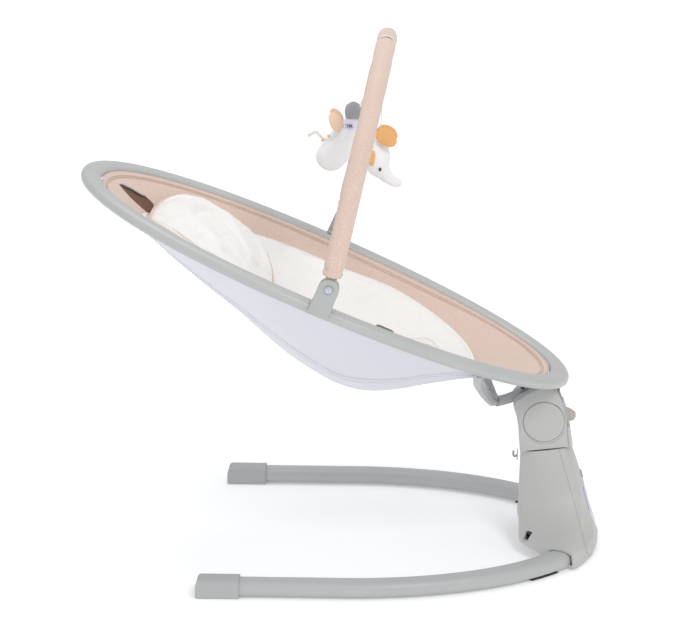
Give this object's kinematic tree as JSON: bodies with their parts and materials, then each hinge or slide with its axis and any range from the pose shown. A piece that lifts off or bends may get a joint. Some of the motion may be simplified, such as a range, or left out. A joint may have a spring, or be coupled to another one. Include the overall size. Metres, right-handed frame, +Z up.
{
  "type": "bouncer seat",
  "caption": "Electric baby bouncer seat: fabric bucket in an oval ring on a swinging, reclining head, tower on a U-shaped tube base, toy bar with plush toys.",
  "frame": {"origin": "on the floor, under the middle of the whole swing's outline", "axes": "+Z up, +X from the baby's head towards the feet and the tower, +Y to the baby's left"},
  "size_m": [0.7859, 0.609, 0.7863],
  "materials": {
    "frame": "satin light grey paint",
    "cap": "satin",
    "rubber": "matte",
    "housing": "fine matte texture",
    "dark_housing": "matte",
    "button": "satin",
    "panel": "gloss",
    "board": "solder mask",
    "black": "matte",
    "nylon": "natural",
    "steel": "bright zinc",
    "brass": "machined",
    "shell_fabric": "plain weave",
    "liner_fabric": "fine weave",
    "pad_fabric": "soft knit",
    "toy_fabric": "plush",
    "strap_webbing": "ribbed webbing",
    "buckle": "semi-gloss"
  },
  "bodies": {
    "base": {"right_base_tube": "frame", "left_base_tube": "frame", "right_leg_cap": "cap", "left_leg_cap": "cap", "right_rear_foot": "rubber", "left_rear_foot": "rubber", "tower_front_shell": "housing", "tower_rear_shell": "housing", "tower_base_plate": "dark_housing", "control_panel": "panel", "control_board": "board", "power_switch": "black", "power_jack": "black", "net_hook": "housing", "loudspeaker": "black", "drive_chassis": "nylon", "upper_swing_bearing": "steel", "lower_swing_bearing": "steel", "drive_motor": "steel"},
    "power_key": {"power_button": "dark_housing"},
    "pinion": {"motor_pinion": "brass"},
    "swing_head": {"swing_shaft": "steel", "gear_sector": "nylon", "swing_yoke": "dark_housing", "right_cheek_shell": "housing", "left_cheek_shell": "housing", "head_rear_cover": "housing", "right_hub_cap": "housing", "left_hub_cap": "housing", "recline_axle": "steel", "recline_button_spring": "steel"},
    "recline_key": {"recline_button": "button", "lock_slider": "steel"},
    "seat": {"socket_arm": "dark_housing", "lock_wheel": "steel", "upper_socket_screw": "black", "lower_socket_screw": "black", "seat_tube": "frame", "brace_tube": "frame", "ring_foot_half": "frame", "ring_head_half": "frame", "right_bar_bracket": "cap", "left_bar_bracket": "cap", "right_pivot_screw": "steel", "left_pivot_screw": "steel", "seat_shell_fabric": "shell_fabric", "rim_liner": "liner_fabric", "seat_pad": "pad_fabric", "head_pillow": "pad_fabric", "crotch_strap": "pad_fabric", "right_waist_strap": "strap_webbing", "left_waist_strap": "strap_webbing", "buckle_body": "buckle"},
    "buckle_key": {"buckle_button": "buckle"},
    "toy_bar": {"toy_bar_rod": "nylon", "toy_bar_sleeve": "liner_fabric"},
    "pony": {"pony_toy": "toy_fabric", "pony_tape": "strap_webbing"},
    "elephant": {"elephant_toy": "toy_fabric", "elephant_tape": "strap_webbing"}
  },
  "joints": [
    {"name": "swing", "type": "hinge", "parent": "base", "child": "swing_head", "pos_m": [0.306, 0, 0.153], "axis": [-0.1149, 0, 0.9934], "range_deg": [-15, 15]},
    {"name": "pinion_spin", "type": "hinge", "parent": "base", "child": "pinion", "pos_m": [0.34071, 0, 0.09662], "axis": [-0.1149, 0, 0.9934], "range_deg": [-56, 56]},
    {"name": "recline", "type": "hinge", "parent": "swing_head", "child": "seat", "pos_m": [0.305, 0, 0.198], "axis": [0, 1, 0], "range_deg": [-14, 6]},
    {"name": "recline_button_push", "type": "slide", "parent": "swing_head", "child": "recline_key", "axis": [-1, 0, 0], "range_m": [0, 0.004], "stiffness_N_per_m": 600, "springref_m": -0.002, "deforming": ["recline_button_spring"]},
    {"name": "power_button_push", "type": "slide", "parent": "base", "child": "power_key", "axis": [-0.9638, 0, -0.2667], "range_m": [0, 0.0012], "stiffness_N_per_m": 500, "springref_m": -0.001},
    {"name": "buckle_button_push", "type": "slide", "parent": "seat", "child": "buckle_key", "axis": [-0.3955, 0, -0.9184], "range_m": [0, 0.0025], "stiffness_N_per_m": 500, "springref_m": -0.001},
    {"name": "toy_bar_fold", "type": "hinge", "parent": "seat", "child": "toy_bar", "pos_m": [-0.01067, 0, 0.4498], "axis": [0, 1, 0], "range_deg": [-30, 50]},
    {"name": "pony_swing", "type": "hinge", "parent": "toy_bar", "child": "pony", "pos_m": [0.0638, -0.042, 0.77], "axis": [0, 1, 0], "range_deg": [-40, 60]},
    {"name": "elephant_swing", "type": "hinge", "parent": "toy_bar", "child": "elephant", "pos_m": [0.0638, 0.042, 0.77], "axis": [0, 1, 0], "range_deg": [-60, 40]}
  ],
  "couplings": [
    {"joint": "pinion_spin", "follows": "swing", "ratio": -3.6667}
  ]
}
